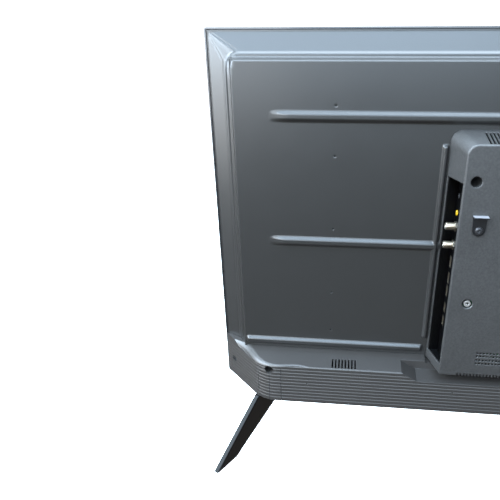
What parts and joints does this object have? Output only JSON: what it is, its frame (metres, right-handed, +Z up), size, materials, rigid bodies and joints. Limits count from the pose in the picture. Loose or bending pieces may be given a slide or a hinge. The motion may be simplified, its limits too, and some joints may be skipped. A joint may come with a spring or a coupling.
{
  "type": "flat screen television",
  "caption": "Flat screen television on splayed blade legs, with a stamped steel back, a raised electronics cover with side connector bay and a ribbed lower cover.",
  "frame": {"origin": "on the floor under the middle of the set, at the centre of the legs' footprint", "axes": "+Z up, the screen faces -Y, the connectors and covers are on the +Y side, +X is to the right of someone watching the screen"},
  "size_m": [0.871, 0.225, 0.5715],
  "materials": {
    "bezel_gloss": "satin black moulding",
    "screen": "dark anti-glare screen",
    "pan_steel": "fine textured dark grey coating",
    "cover_plastic": "fine spark-eroded grain",
    "chin_plastic": "ribbed, fine grain",
    "tray_black": "matt black",
    "leg_gloss": "polished black",
    "pad_rubber": "matt black rubber",
    "zinc_steel": "zinc plated",
    "black_steel": "black coated steel",
    "nickel": "nickel plated",
    "white_plastic": "white",
    "optical_film": "translucent white",
    "acrylic": "clear acrylic",
    "aluminium": "bare sheet",
    "circuit_board": "green solder resist",
    "ferrite": "taped winding on a ferrite core",
    "capacitor_sleeve": "shrunk sleeve",
    "jack_black": "black moulding",
    "jack_yellow": "yellow moulding",
    "lens_dark": "dark red window"
  },
  "bodies": {
    "set": {"antenna_nuts": "nickel", "antenna_sockets": "nickel", "av_jack": "jack_yellow", "back_pan": "pan_steel", "board_posts": "zinc_steel", "board_screws": "zinc_steel", "bracket_screw": "black_steel", "bulk_capacitors": "capacitor_sleeve", "cable_bracket": "black_steel", "chin_cover": "chin_plastic", "chin_screws": "black_steel", "connector_liner": "tray_black", "connector_plate": "tray_black", "cover_screws": "black_steel", "diffuser_film": "optical_film", "diffuser_plate": "optical_film", "diffuser_supports": "white_plastic", "electronics_cover": "cover_plastic", "front_bezel": "bezel_gloss", "hdmi_sockets": "nickel", "headphone_jack": "jack_black", "heatsinks": "aluminium", "ir_lens": "lens_dark", "ir_receiver": "jack_black", "key_board": "circuit_board", "lcd_cell": "screen", "led_bars": "aluminium", "led_lenses": "acrylic", "leg_brackets": "zinc_steel", "leg_left": "leg_gloss", "leg_pads": "pad_rubber", "leg_right": "leg_gloss", "leg_screws": "black_steel", "leg_socket_left": "chin_plastic", "leg_socket_right": "chin_plastic", "main_board": "circuit_board", "mains_inlet": "jack_black", "mains_liner": "tray_black", "mains_plate": "tray_black", "mid_frame": "jack_black", "plate_frame": "jack_black", "power_board": "circuit_board", "power_transformer": "ferrite", "prism_film": "optical_film", "reflector_sheet": "white_plastic", "sensor_pod": "bezel_gloss", "speaker_left": "jack_black", "speaker_right": "jack_black", "tact_switch": "jack_black", "tcon_board": "circuit_board", "usb_sockets": "nickel", "vesa_standoffs": "zinc_steel"},
    "button": {"power_button": "bezel_gloss"},
    "plunger": {"tact_plunger": "jack_black"}
  },
  "joints": [
    {"name": "button_press", "type": "slide", "parent": "set", "child": "button", "axis": [0, 0, 1], "range_m": [0, 0.0006], "stiffness_N_per_m": 400, "springref_m": -0.0004},
    {"name": "plunger_press", "type": "slide", "parent": "set", "child": "plunger", "axis": [0, 0, 1], "range_m": [0, 0.0006]}
  ],
  "couplings": [
    {"joint": "plunger_press", "follows": "button_press", "ratio": 1}
  ]
}
